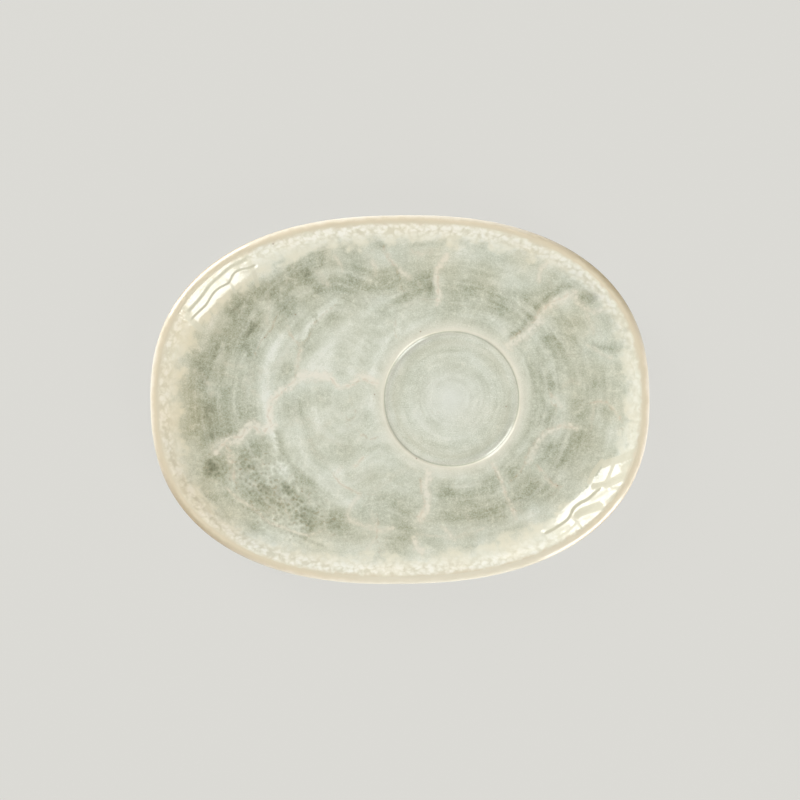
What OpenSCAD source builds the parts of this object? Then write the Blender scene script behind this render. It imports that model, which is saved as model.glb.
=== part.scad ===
// Oval saucer with a round cup well set off its middle.
// One stoneware body carries four coats of glaze: on the face, over the lip, under the rim and in the base.
// X runs along the oval, Z is up, and the origin is on the table under the middle of the oval.

/* [Plan] */
// Length of the oval, over the glaze
length = 220; // [190:1:260]
// Width of the oval, over the glaze
width = 162.5; // [140:0.5:200]
// Squareness of the oval: 2 is an ellipse, and a higher value fills its corners
squareness = 2.38; // [2:0.02:3]

/* [Section] */
// Height from the table to the top of the lip
height = 17.5; // [15:0.5:20]
// Thickness of the clay in the floor, the wall and the lip
wall = 4.2; // [3.4:0.1:5]
// Radius of the rise from the dish to the lip
rise_radius = 30; // [25:1:38]
// Radius of the gentle dish between the flat middle and the rise
dish_radius = 200; // [160:5:240]
// Slope where the dish passes into the rise, in degrees
dish_slope = 7; // [5:0.5:9]

/* [Foot ring] */
// Height of the foot ring below the floor
foot_height = 2.5; // [1.5:0.1:3.5]
// Width of the foot ring
foot_width = 4; // [3:0.5:5]
// Distance from the outline in to the outside of the foot ring
foot_inset = 34; // [28:1:38]
// Rounding of the foot ring's two lower edges
foot_round = 0.8; // [0.3:0.1:1.2]

/* [Cup well] */
// Distance of the well from the middle of the oval
well_offset = 23; // [10:1:30]
// Diameter of the well where its rounded edge meets the face
well_diameter = 62.5; // [50:0.5:68]
// Depth of the well below the face
well_depth = 1.8; // [1.2:0.1:2.4]
// Slope of the well's side, in degrees
well_slope = 50; // [35:1:55]
// Radius of the rounded edge of the well
well_edge = 0.8; // [0.5:0.1:1.4]
// Radius of the hollow at the foot of the well's side
well_hollow = 2.4; // [1.6:0.1:4]

/* [Glaze] */
// Thickness of the reactive glaze on the face
face_coat = 0.6; // [0.4:0.05:1]
// Thickness of the rolled bead where the face glaze ends at the lip
bead_coat = 0.9; // [0.7:0.05:1.2]
// Width of the bead, from the lip in to the even coat
bead_width = 4.7; // [3:0.1:7]
// Thickness of the glaze over the lip
rim_coat = 0.25; // [0.15:0.05:0.35]
// Thickness of the glaze under the rim and in the base
under_coat = 0.35; // [0.2:0.05:0.6]

/* [Hidden] */

// Straight sides in the oval, and steps in the arcs of the section
oval_sides = 72;
rise_steps = 6;
dish_steps = 3;
lip_side_steps = 2;
lip_top_steps = 3;
round_steps = 3;
well_steps = 6;
$fn = 120;

// Heights of the clay floor and of the clay under the well
floor_z = foot_height + wall;
well_z = floor_z - well_depth;

// A point of the section is [inset, z], where inset is the distance in from the outline.
// The lip is a half round between the two faces of the wall.
lip_radius = wall / 2;
lip_centre = [rim_coat + lip_radius, height - rim_coat - lip_radius];

// The slope of the wall at the lip follows from the height that the rise has to reach.
rise_top = floor_z + dish_radius * (1 - cos(dish_slope)) + rise_radius * cos(dish_slope);
lip_slope = acos((rise_top - lip_centre.y) / (lip_radius + rise_radius));

// The rise and the dish are tangent arcs, and the dish is tangent to the flat middle.
rise_centre = lip_centre + (lip_radius + rise_radius) * [sin(lip_slope), cos(lip_slope)];
dish_centre = rise_centre + (dish_radius - rise_radius) * [sin(dish_slope), cos(dish_slope)];
foot_inner = foot_inset + foot_width;

// The bead's crest lies nearer to the lip than to its tail. Both are slopes on the rise.
bead_tail = lip_slope - bead_width / rise_radius * 180 / PI;
bead_crest = lip_slope + 0.3 * (bead_tail - lip_slope);

// The section of the well is [radius, z]: a hollow, a straight side and a rounded edge, all tangent.
// The hollow is held small enough to leave this much straight side.
least_side = 0.1;
hollow_limit = (well_depth - least_side * sin(well_slope)) / (1 - cos(well_slope)) - well_edge;
hollow_radius = min(well_hollow, hollow_limit);
well_bend = hollow_radius + well_edge;
well_side = (well_depth - well_bend * (1 - cos(well_slope))) / sin(well_slope);
well_floor_radius = well_diameter / 2 - well_bend * sin(well_slope) - well_side * cos(well_slope);
// The rounded edge crosses the face at this slope, and is drawn from twice this slope.
edge_slope = 5;

clay_colour = "#d9c8a8";
celadon_colour = "#c3cab4";
tan_colour = "#e0d0ad";

function power(value, exponent) = sign(value) * pow(abs(value), exponent);

function tail(points) = [for (index = [1 : len(points) - 1]) points[index]];

function reversed(points) = [for (index = [len(points) - 1 : -1 : 0]) points[index]];

// One level ring of the oval, at an inset from the outline
function oval(inset, z) = [
    for (side = [0 : oval_sides - 1])
        let (turn = 360 * side / oval_sides)
        [
            (length / 2 - inset) * power(cos(turn), 2 / squareness),
            (width / 2 - inset) * power(sin(turn), 2 / squareness),
            z
        ]
];

// Points of an arc in the section. A slope of 0 is straight below its centre, and 90 is outwards.
function sweep(centre, radius, from, to, steps) = [
    for (step = [0 : steps])
        let (slope = from + (to - from) * step / steps)
        centre - radius * [sin(slope), cos(slope)]
];

// Upper face of the clay from the flat middle out to the lip
function clay_face() = concat(
    sweep(dish_centre, dish_radius, 0, dish_slope, dish_steps),
    tail(sweep(rise_centre, rise_radius, dish_slope, lip_slope, rise_steps))
);

// Upper face of the glaze from the lip in to the flat middle: the thin end, the bead and the even coat
function glaze_face() = concat(
    [
        rise_centre - (rise_radius - rim_coat) * [sin(lip_slope), cos(lip_slope)],
        rise_centre - (rise_radius - bead_coat) * [sin(bead_crest), cos(bead_crest)]
    ],
    sweep(rise_centre, rise_radius - face_coat, bead_tail, dish_slope, rise_steps - 1),
    tail(sweep(dish_centre, dish_radius - face_coat, dish_slope, 0, dish_steps))
);

// Half round of the lip, under a coat, from the outside through its widest and highest points to the inside
function lip_round(coat) = concat(
    sweep(lip_centre, lip_radius + coat, lip_slope, 90, lip_side_steps),
    tail(sweep(lip_centre, lip_radius + coat, 90, 180, lip_top_steps)),
    tail(sweep(lip_centre, lip_radius + coat, 180, 180 + lip_slope, lip_side_steps))
);

// Slope of the lower face of the dish at an inset
function slope_at(inset, coat) = asin((dish_centre.x - inset) / (dish_radius + wall + coat));

// Lower face inside the foot ring, from the flat middle out to the foot
function base_face(coat) = sweep(
    dish_centre, dish_radius + wall + coat, 0, slope_at(foot_inner, coat), dish_steps
);

// Lower face outside the foot ring, from the foot out to the lip
function under_face(coat) = concat(
    sweep(dish_centre, dish_radius + wall + coat, slope_at(foot_inset, coat), dish_slope, dish_steps),
    tail(sweep(rise_centre, rise_radius + wall + coat, dish_slope, lip_slope, rise_steps))
);

// Foot ring, round its two lower edges from the inside to the outside
function foot_edges() = concat(
    [
        for (step = [0 : round_steps])
            let (turn = 90 * step / round_steps)
            [foot_inner - foot_round * (1 - cos(turn)), foot_round * (1 - sin(turn))]
    ],
    [
        for (step = [0 : round_steps])
            let (turn = 90 * step / round_steps)
            [foot_inset + foot_round * (1 - sin(turn)), foot_round * (1 - cos(turn))]
    ]
);

// The two triangles of a four-sided patch, split along its shorter diagonal
function patch(points, a, b, c, d) =
    norm(points[a] - points[c]) <= norm(points[b] - points[d])
        ? [[a, d, c], [a, c, b]]
        : [[a, d, b], [b, d, c]];

// A solid swept round the oval. A closed section makes a ring, and an open one is capped at both ends.
module swept(section, closed = false) {
    rings = len(section);
    points = [for (corner = section) each oval(corner.x, corner.y)];
    bands = closed ? rings : rings - 1;
    sides = [
        for (ring = [0 : bands - 1], side = [0 : oval_sides - 1])
            let (
                next_side = (side + 1) % oval_sides,
                here = ring * oval_sides,
                there = (ring + 1) % rings * oval_sides
            )
            each patch(points, here + side, here + next_side, there + next_side, there + side)
    ];
    first_cap = [for (side = [0 : oval_sides - 1]) side];
    last_cap = [for (side = [oval_sides - 1 : -1 : 0]) (rings - 1) * oval_sides + side];
    polyhedron(points, closed ? sides : concat(sides, [first_cap, last_cap]), convexity = 6);
}

// A point on the rounded edge of the well, at a slope and under a coat
function edge_point(slope, coat) =
    [well_diameter / 2, floor_z + coat - (well_edge + coat) * cos(edge_slope)]
    + (well_edge + coat) * [-sin(slope), cos(slope)];

// The space of the cup well above the clay, or above a coat on it, up to a height
module well_space(coat, top) {
    hollow_centre = [well_floor_radius, well_z + hollow_radius];
    brim = 2 * edge_point(edge_slope, coat) - edge_point(2 * edge_slope, coat);
    translate([well_offset, 0, 0])
        rotate_extrude()
            polygon(concat(
                [[0, top], [0, well_z + coat]],
                [
                    for (step = [0 : well_steps])
                        let (slope = well_slope * step / well_steps)
                        hollow_centre + (hollow_radius - coat) * [sin(slope), -cos(slope)]
                ],
                [
                    for (step = [0 : well_steps])
                        edge_point(well_slope + (2 * edge_slope - well_slope) * step / well_steps, coat)
                ],
                [brim, [brim.x, top]]
            ));
}

// Fired clay: floor, foot ring, rise, lip and cup well in one piece
module clay_body() {
    color(clay_colour)
        difference() {
            swept(concat(
                base_face(0),
                foot_edges(),
                under_face(0),
                tail(lip_round(0)),
                tail(reversed(clay_face()))
            ));
            well_space(0, height);
        }
}

// Reactive glaze on the face, from its bead at the lip in to the lining of the well
module face_glaze() {
    color(celadon_colour)
        difference() {
            union() {
                swept(concat(clay_face(), glaze_face()));
                well_space(0, floor_z + face_coat / 2);
            }
            well_space(face_coat, height);
        }
}

// Thin glaze over the half round of the lip
module rim_band() {
    color(tan_colour)
        swept(concat(lip_round(rim_coat), reversed(lip_round(0))), closed = true);
}

// Glaze under the rim, from the lip in to the bare foot ring
module underside_glaze() {
    color(celadon_colour)
        swept(concat(under_face(under_coat), reversed(under_face(0))), closed = true);
}

// Glaze in the recess inside the foot ring
module base_glaze() {
    color(celadon_colour)
        swept(concat(base_face(under_coat), reversed(base_face(0))));
}

clay_body();
face_glaze();
rim_band();
underside_glaze();
base_glaze();
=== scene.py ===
# Oval stoneware saucer with a reactive celadon glaze and a tan lip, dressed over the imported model.
# Sizes are in millimetres until a piece's mesh is scaled to metres.
from functools import partial
from math import acos, asin, atan2, copysign, cos, degrees, exp, hypot, pi, radians, sin, tan

import bmesh
import bpy
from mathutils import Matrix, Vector, kdtree, noise

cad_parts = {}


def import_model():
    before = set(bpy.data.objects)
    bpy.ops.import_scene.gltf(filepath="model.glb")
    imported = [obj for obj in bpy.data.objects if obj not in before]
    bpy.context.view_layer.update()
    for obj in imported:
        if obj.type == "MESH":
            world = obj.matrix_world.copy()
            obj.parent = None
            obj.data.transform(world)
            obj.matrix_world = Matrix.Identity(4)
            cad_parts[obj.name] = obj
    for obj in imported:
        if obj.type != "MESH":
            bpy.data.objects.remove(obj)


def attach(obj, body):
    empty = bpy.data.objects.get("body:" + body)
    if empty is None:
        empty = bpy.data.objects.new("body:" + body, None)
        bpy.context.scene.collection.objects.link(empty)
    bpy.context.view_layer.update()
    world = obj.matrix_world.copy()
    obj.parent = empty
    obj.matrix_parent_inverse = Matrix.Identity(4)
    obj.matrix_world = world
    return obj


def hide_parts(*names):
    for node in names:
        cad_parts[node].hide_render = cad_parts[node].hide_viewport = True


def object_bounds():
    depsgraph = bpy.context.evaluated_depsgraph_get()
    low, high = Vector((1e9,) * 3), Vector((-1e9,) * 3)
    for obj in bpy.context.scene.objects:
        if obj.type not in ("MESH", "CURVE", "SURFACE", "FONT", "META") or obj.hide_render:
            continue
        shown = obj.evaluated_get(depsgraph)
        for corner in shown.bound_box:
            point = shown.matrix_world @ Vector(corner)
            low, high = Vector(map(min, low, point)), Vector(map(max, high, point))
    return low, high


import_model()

cad_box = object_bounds()
MM = 0.001

# Plan and section, as in the part's source
HALF_LENGTH = cad_box[1].x / MM
HALF_WIDTH = cad_box[1].y / MM
HEIGHT = cad_box[1].z / MM
SQUARENESS = 2.38
WALL = 4.2
RISE_RADIUS = 30
DISH_RADIUS = 200
DISH_SLOPE = 7
FOOT_HEIGHT = 2.5
FOOT_WIDTH = 4
FOOT_INSET = 34
FOOT_ROUND = 0.8
WELL_X = 23
WELL_DEPTH = 1.8
WELL_HOLLOW = 2.6
# The well's edge is drawn a little tighter than in the solid, as the glaze leaves it
WELL_RADIUS = 31.2
WELL_SLOPE = 60
WELL_EDGE = 0.4
FACE_COAT = 0.6
RIM_COAT = 0.25
UNDER_COAT = 0.35

# Section points are (inset from the outline, z), and slopes are in degrees.
FLOOR_Z = FOOT_HEIGHT + WALL
LIP_RADIUS = WALL / 2
LIP_CENTRE = (RIM_COAT + LIP_RADIUS, HEIGHT - RIM_COAT - LIP_RADIUS)
RISE_TOP = FLOOR_Z + DISH_RADIUS * (1 - cos(radians(DISH_SLOPE))) + RISE_RADIUS * cos(radians(DISH_SLOPE))
LIP_SLOPE = degrees(acos((RISE_TOP - LIP_CENTRE[1]) / (LIP_RADIUS + RISE_RADIUS)))
RISE_CENTRE = (
    LIP_CENTRE[0] + (LIP_RADIUS + RISE_RADIUS) * sin(radians(LIP_SLOPE)),
    LIP_CENTRE[1] + (LIP_RADIUS + RISE_RADIUS) * cos(radians(LIP_SLOPE)),
)
DISH_CENTRE = (
    RISE_CENTRE[0] + (DISH_RADIUS - RISE_RADIUS) * sin(radians(DISH_SLOPE)),
    RISE_CENTRE[1] + (DISH_RADIUS - RISE_RADIUS) * cos(radians(DISH_SLOPE)),
)
FLAT_INSET = DISH_CENTRE[0]

# The glaze makes the crown of the lip broad and flat: its lift outside the crest and its fall inside it
CROWN_LIFT = 0.6
CROWN_FALL = 0.76
# Inside the lip the glaze has rolled up into a bead, and a shelf that ends in a step lies beside it
BEAD_START, BEAD_FULL = 3.4, 4.7
ROLL_INSET, ROLL_WIDTH, ROLL_HEIGHT = 5.5, 1.1, 0.20
SHELF_INSET, SHELF_WIDTH, SHELF_HEIGHT = 9.0, 1.6, 0.16
# At one corner a fold of glaze carries the bead further in
FOLD_HEIGHT, FOLD_REACH = 0.30, 24
# The lip's colour carries painted shade, darkest where the lip faces this bearing or the one opposite, away
# from both lamps
PAINTED_SHADE_BEARING = 42
# Depth of the waves in it
LIP_WAVES = 0.05
# Where the glaze ends beside the foot ring: the slope its rolled end takes up, the bare clay and the roll
BEAD_SWEEP = 0.6
BARE_CLAY = 0.9
ROLLED_END = 0.14

# Sides of each piece, and the distance at which its points are welded
FACE_SIDES = 620
RIM_SIDES = 480
UNDER_SIDES = 360
BASE_SIDES = 240
CLAY_SIDES = 240
WELD = 0.0005

# The photograph: its scale at the lip and on the face, and the saucer's place and turn in it
IMAGE_SIZE = 800
LIP_MM_PER_PIXEL = 0.4410
FACE_MM_PER_PIXEL = 0.4447
MIDDLE_PIXEL = (399.5, 399.1)
TURN_IN_PHOTO = 0.9


def fade(value, start, end):
    """0 at start and 1 at end, smooth between them."""
    share = min(1, max(0, (value - start) / (end - start)))
    return share * share * (3 - 2 * share)


def from_photo(x, y, scale=FACE_MM_PER_PIXEL):
    """A pixel of the photograph as a place on the saucer, most often on its face."""
    across = (x - MIDDLE_PIXEL[0]) * scale
    up = (MIDDLE_PIXEL[1] - y) * scale
    turn = radians(TURN_IN_PHOTO)
    return across * cos(turn) + up * sin(turn), up * cos(turn) - across * sin(turn)


def spread(start, end, count):
    return [start + (end - start) * step / count for step in range(count + 1)]


def sweep(centre, radius, slopes):
    """Points of a section's arc. A slope of 0 is straight below its centre, and 90 is outwards."""
    return [
        (centre[0] - radius * sin(radians(slope)), centre[1] - radius * cos(radians(slope)))
        for slope in slopes
    ]


def lip_skin(slopes):
    """Section of the glazed lip: tight at its outer edge, with a broad flat crown."""
    across, middle = LIP_RADIUS + RIM_COAT, LIP_CENTRE[1]
    points = []
    for slope in slopes:
        level = -cos(radians(slope))
        if slope <= 90:
            z = middle + across * level + CROWN_LIFT * fade(slope, LIP_SLOPE, 90)
        elif slope <= 180:
            z = middle + CROWN_LIFT + (across - CROWN_LIFT) * level
        else:
            z = HEIGHT - CROWN_FALL * (1 - level)
        points.append((LIP_CENTRE[0] - across * sin(radians(slope)), z))
    return points


def oval(turn, inset):
    power = 2 / SQUARENESS
    return (
        (HALF_LENGTH - inset) * copysign(abs(cos(turn)) ** power, cos(turn)),
        (HALF_WIDTH - inset) * copysign(abs(sin(turn)) ** power, sin(turn)),
    )


def facing(rim):
    """Bearing of the outline's outward side at a point of it."""
    parts = [
        copysign(abs(part / half) ** (SQUARENESS - 1) / half, part)
        for part, half in zip(rim, (HALF_LENGTH, HALF_WIDTH))
    ]
    return atan2(parts[1], parts[0])


def even_turns(count):
    """Turns that divide the outline into equal lengths."""
    fine = 24 * count
    points = [oval(2 * pi * step / fine, 0) for step in range(fine + 1)]
    reach = [0]
    for here, there in zip(points, points[1:]):
        reach.append(reach[-1] + hypot(there[0] - here[0], there[1] - here[1]))
    turns, step = [], 0
    for side in range(count):
        while reach[step] < reach[-1] * side / count:
            step += 1
        turns.append(2 * pi * step / fine)
    return turns


# A row is one ring of a piece: on the oval at an inset, between the flat's edge and the well's edge
# at a share of the way, in the well at a radius, or about the middle at a share of the flat's edge.
def place(kind, size, turn):
    if kind == "oval":
        return oval(turn, size)
    edge = oval(turn, FLAT_INSET)
    if kind == "hub":
        return edge[0] * size, edge[1] * size
    bearing = atan2(edge[1], edge[0] - WELL_X)
    radius = size if kind == "well" else WELL_RADIUS
    brim = (WELL_X + radius * cos(bearing), radius * sin(bearing))
    if kind == "well":
        return brim
    return edge[0] + (brim[0] - edge[0]) * size, edge[1] + (brim[1] - edge[1]) * size


def on_oval(points):
    return [("oval", inset, z) for inset, z in points]


def well_rows(coat, steps, floor_steps):
    """The lining of the well under a coat, from its edge in to its middle."""
    bend = radians(WELL_SLOPE)
    edge, hollow = WELL_EDGE + coat, WELL_HOLLOW - coat
    side = (WELL_DEPTH - (WELL_EDGE + WELL_HOLLOW) * (1 - cos(bend))) / sin(bend)
    floor_radius = WELL_RADIUS - (WELL_EDGE + WELL_HOLLOW) * sin(bend) - side * cos(bend)
    top = FLOOR_Z + coat
    rows = [
        (WELL_RADIUS - edge * sin(slope), top - edge * (1 - cos(slope)))
        for slope in spread(0, bend, steps)
    ]
    rows += [
        (floor_radius + hollow * sin(slope), top - WELL_DEPTH + hollow * (1 - cos(slope)))
        for slope in spread(bend, 0, steps)
    ]
    rows += [(radius, top - WELL_DEPTH) for radius in spread(floor_radius, 0, floor_steps)[1:]]
    return [("well", radius, z) for radius, z in rows]


def rolled(rows, sides):
    """Rolls a grid into a piece of rings, welds its seam and its poles, and turns its faces outwards."""
    bm = bmesh.new()
    bmesh.ops.create_grid(bm, x_segments=sides, y_segments=len(rows) - 1, size=1)
    turns = even_turns(sides)
    layers = bm.verts.layers.int
    row_of, side_of = layers.new("row"), layers.new("side")
    for vert in bm.verts:
        side = round((vert.co.x + 1) / 2 * sides) % sides
        row = round((vert.co.y + 1) / 2 * (len(rows) - 1))
        kind, size, z = rows[row]
        vert[row_of], vert[side_of] = row, side
        vert.co = (*place(kind, size, turns[side]), z)
    bmesh.ops.remove_doubles(bm, verts=bm.verts, dist=WELD)
    bmesh.ops.recalc_face_normals(bm, faces=bm.faces)
    bm.normal_update()
    return bm, turns, layers["row"], layers["side"]


def finished(bm, name, material, node):
    """Scales the piece to metres and gives it its finish and its place in the frame."""
    bmesh.ops.scale(bm, vec=(MM, MM, MM), verts=bm.verts)
    for face in bm.faces:
        face.smooth = True
    mesh = bpy.data.meshes.new(name)
    bm.to_mesh(mesh)
    bm.free()
    mesh.materials.append(material)
    piece = bpy.data.objects.new(name, mesh)
    bpy.context.scene.collection.objects.link(piece)
    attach(piece, "root")
    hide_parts(node)
    return piece


# Cream veins in the face glaze: width, strength and points in the photograph
VEINS = (
    (5.4, 0.8, ((216, 449), (222, 443), (230, 440), (238, 438))),
    (4.8, 0.8, ((238, 438), (243, 433), (248, 427), (254, 425), (260, 430), (266, 428), (271, 424))),
    (3.4, 0.85, ((270, 424), (269, 412), (271, 402), (276, 394), (282, 390), (290, 385), (296, 378))),
    (4.4, 0.85, ((296, 378), (304, 375), (314, 376), (324, 376), (331, 378))),
    (2.6, 0.75, ((331, 378), (335, 383), (340, 386), (348, 385), (356, 380))),
    (3.8, 0.8, ((355, 380), (362, 376), (368, 378), (373, 382), (382, 384))),
    (2.6, 0.6, ((300, 346), (299, 354), (297, 364), (296, 376))),
    (2.0, 0.4, ((286, 324), (291, 335), (299, 346))),
    (1.6, 0.55, (
        (226, 487), (233, 494), (241, 500), (253, 507), (262, 516), (272, 522), (290, 530), (308, 534),
        (320, 531),
    )),
    (3.6, 0.55, ((222, 446), (228, 452), (231, 462), (234, 476))),
    (2.6, 0.6, ((384, 250), (389, 258), (396, 266), (402, 273), (409, 277))),
    (2.8, 0.8, ((446, 256), (441, 264), (437, 272), (436, 282), (438, 292), (438, 303))),
    (2.4, 0.5, ((335, 256), (338, 262), (342, 269))),
    (2.6, 0.5, ((372, 262), (375, 268), (374, 274))),
    (3.0, 0.45, ((411, 252), (420, 253), (431, 251))),
    (3.4, 0.4, ((318, 272), (322, 279), (328, 285))),
    (4.6, 0.66, ((508, 346), (515, 341), (523, 335), (531, 328))),
    (4.8, 0.66, ((531, 328), (538, 321), (541, 313), (547, 307), (556, 301), (565, 296), (573, 294))),
    (2.6, 0.55, ((538, 280), (539, 273), (543, 266), (549, 261))),
    (3.4, 0.55, ((573, 294), (579, 304), (590, 311), (602, 309), (612, 302))),
    (2.6, 0.4, ((586, 313), (590, 322), (593, 332))),
    (2.0, 0.5, ((588, 346), (596, 350), (604, 355), (611, 357))),
    (2.6, 0.5, ((592, 402), (598, 401), (605, 402))),
    (2.2, 0.4, ((594, 404), (592, 414), (590, 428))),
    (1.6, 0.5, ((606, 403), (613, 409), (619, 418))),
    (3.0, 0.65, ((576, 428), (567, 425), (556, 428), (546, 432), (540, 438), (534, 449), (527, 461))),
    (2.4, 0.45, ((550, 394), (556, 399), (560, 406))),
    (3.0, 0.35, ((563, 386), (570, 380), (577, 384))),
    (2.6, 0.65, ((493, 464), (499, 476), (503, 486), (506, 496), (511, 507), (515, 516))),
    (2.2, 0.55, ((537, 467), (544, 475), (551, 483), (559, 486))),
    (3.8, 0.8, ((429, 465), (427, 478), (424, 488), (427, 499), (425, 510), (420, 518))),
    (2.0, 0.5, ((363, 457), (357, 463), (353, 467))),
    (2.4, 0.45, ((341, 467), (335, 475), (341, 483), (351, 490), (360, 494))),
    (2.6, 0.55, ((358, 496), (352, 505), (347, 516), (356, 522), (367, 526), (380, 529), (393, 527))),
    (2.2, 0.5, ((372, 515), (375, 523), (377, 531))),
    (3.0, 0.8, ((414, 537), (416, 545), (421, 551))),
    (2.2, 0.6, ((443, 527), (448, 533), (454, 538))),
    (1.8, 0.4, ((415, 534), (430, 535), (452, 537), (468, 532), (484, 527))),
    (2.0, 0.4, ((377, 533), (372, 543), (362, 552))),
    (3.2, 0.35, ((196, 371), (204, 378), (210, 389), (211, 396))),
    (2.8, 0.35, ((225, 362), (234, 365), (243, 366))),
    (2.6, 0.35, ((252, 390), (258, 396))),
    (2.8, 0.3, ((268, 296), (268, 308), (266, 320), (270, 332))),
)

# Streaks that follow the turning of the wheel, and dark lines: width, paleness and points
STREAKS = (
    (4.4, 0.32, (
        (281, 337), (273, 351), (267, 366), (264, 382), (264, 398), (267, 414), (270, 428), (276, 446),
    )),
    (3.6, 0.28, ((335, 300), (320, 314), (310, 326), (304, 338))),
    (4.4, 0.12, ((346, 322), (332, 340), (320, 356), (313, 374))),
    (3.0, 0.12, ((333, 343), (328, 356), (323, 372))),
    (3.4, 0.18, ((393, 333), (384, 344), (377, 358), (372, 374))),
    (3.0, 0.12, ((365, 336), (356, 352), (351, 372))),
    (3.4, 0.26, ((372, 398), (377, 416), (387, 434), (400, 450), (414, 462))),
    (3.6, 0.18, ((314, 398), (314, 415), (318, 430))),
    (3.0, 0.14, ((284, 468), (297, 490), (312, 505), (326, 516))),
    (3.4, 0.14, ((300, 445), (312, 470), (330, 490), (350, 505))),
    (3.0, 0.2, ((398, 294), (386, 299), (372, 308), (362, 314))),
    (2.6, 0.16, ((420, 304), (406, 312), (396, 324), (400, 334))),
    (3.0, 0.14, ((430, 318), (412, 326), (398, 338))),
    (3.0, 0.12, ((440, 278), (465, 276), (490, 279), (520, 286))),
    (3.0, 0.12, ((450, 318), (480, 314), (505, 322))),
    (2.0, 0.2, ((522, 358), (528, 380), (528, 402), (524, 422), (515, 440))),
    (3.0, 0.16, ((440, 476), (460, 479), (480, 476))),
    (2.8, -0.36, (
        (570, 286), (561, 287), (553, 293), (546, 299), (539, 303), (533, 312), (528, 321), (520, 329),
        (511, 335),
    )),
    (1.4, -0.26, ((592, 343), (599, 347), (606, 348), (618, 351))),
    (1.2, -0.24, ((240, 504), (258, 512), (266, 521), (280, 528), (295, 534), (311, 541), (326, 546))),
    (1.4, -0.22, ((382, 246), (388, 257), (394, 266), (399, 277), (401, 289))),
    (1.8, -0.2, ((247, 344), (249, 351), (253, 357))),
    (2.4, -0.18, ((276, 432), (283, 452), (296, 470), (312, 486))),
    (2.2, -0.12, ((306, 436), (313, 447), (321, 457))),
    (2.0, -0.16, ((317, 316), (311, 328), (306, 342), (302, 356))),
    (2.4, -0.16, ((258, 345), (250, 365), (246, 390), (248, 412))),
    (2.2, -0.2, ((430, 268), (430, 280), (431, 296))),
    (3.2, -0.14, ((508, 500), (494, 513), (476, 518), (458, 519))),
    (2.6, -0.18, ((548, 478), (538, 488), (524, 500))),
    (2.0, -0.2, ((322, 264), (313, 269), (305, 274))),
    (2.0, -0.16, ((606, 306), (611, 311), (610, 318))),
)

# Small iron specks
SPECKS = (
    (506, 406), (374, 394), (416, 458), (420, 331), (274, 245), (264, 337), (295, 314), (557, 485),
    (378, 577),
)

# Thin rust lines along the veins
RUST_LINES = (
    ((217, 448), (230, 439), (240, 436), (247, 426), (254, 428), (262, 431), (271, 424)),
    ((271, 424), (268, 412), (272, 400), (279, 393), (288, 386), (296, 377)),
    ((228, 447), (232, 460), (234, 475), (236, 485)),
    ((333, 305), (322, 315), (312, 327), (307, 338), (300, 347), (297, 360), (295, 372), (294, 378)),
    ((286, 322), (290, 333), (298, 346)),
    ((275, 318), (270, 329), (264, 337), (258, 345), (254, 355)),
    ((330, 378), (335, 385), (345, 387), (356, 382), (362, 380), (378, 384)),
    ((382, 247), (388, 258), (394, 266), (399, 277), (402, 290)),
    ((437, 272), (437, 280), (438, 288), (436, 300)),
    ((511, 337), (522, 331), (531, 324), (538, 313), (548, 304), (560, 297), (570, 292)),
    ((592, 402), (598, 401), (605, 402), (613, 409), (619, 418), (621, 428)),
    ((550, 394), (552, 400), (556, 408)),
    ((574, 426), (558, 426), (545, 430), (538, 437), (529, 450), (524, 462), (518, 474), (508, 480)),
    ((537, 466), (544, 475), (551, 482), (558, 486)),
    ((493, 466), (499, 478), (504, 487), (505, 496), (508, 502), (513, 510)),
    ((420, 478), (420, 488), (424, 499), (423, 510), (420, 518)),
    ((335, 477), (341, 484), (350, 489), (356, 493), (364, 494)),
    ((353, 466), (359, 461), (364, 455)),
    ((377, 518), (377, 532), (376, 541), (380, 550)),
    ((282, 503), (286, 511), (291, 518)),
    ((395, 322), (394, 330), (398, 337)),
    ((352, 404), (355, 414), (346, 420)),
    ((360, 432), (368, 439), (377, 437)),
)

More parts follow.
